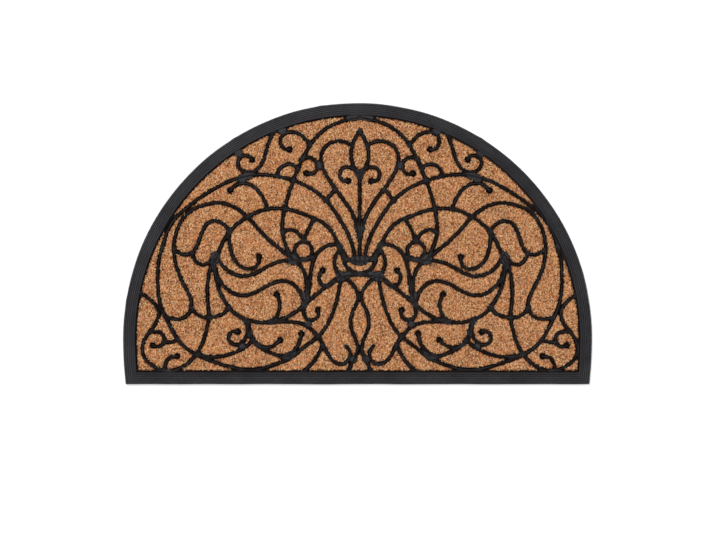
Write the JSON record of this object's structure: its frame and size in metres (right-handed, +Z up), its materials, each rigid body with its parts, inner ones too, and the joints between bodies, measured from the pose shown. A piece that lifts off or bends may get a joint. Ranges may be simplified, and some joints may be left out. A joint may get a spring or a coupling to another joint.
{
  "type": "doormat",
  "caption": "Half-round doormat: a black moulded rubber frame with raised wrought-iron style scrollwork, filled with natural coir pile.",
  "frame": {"origin": "on the floor, under the middle of the mat's box", "axes": "+X along the straight edge, +Y from the straight edge towards the round one, +Z up out of the pile"},
  "size_m": [0.75, 0.45, 0.011],
  "materials": {
    "rubber": "black moulded rubber with a faint satin sheen, fine ribs round the border",
    "coir": "short cut coir pile, matte, speckled tan and brown"
  },
  "bodies": {
    "root": {"rubber_moulding": "rubber", "coir_pile": "coir"}
  },
  "joints": []
}
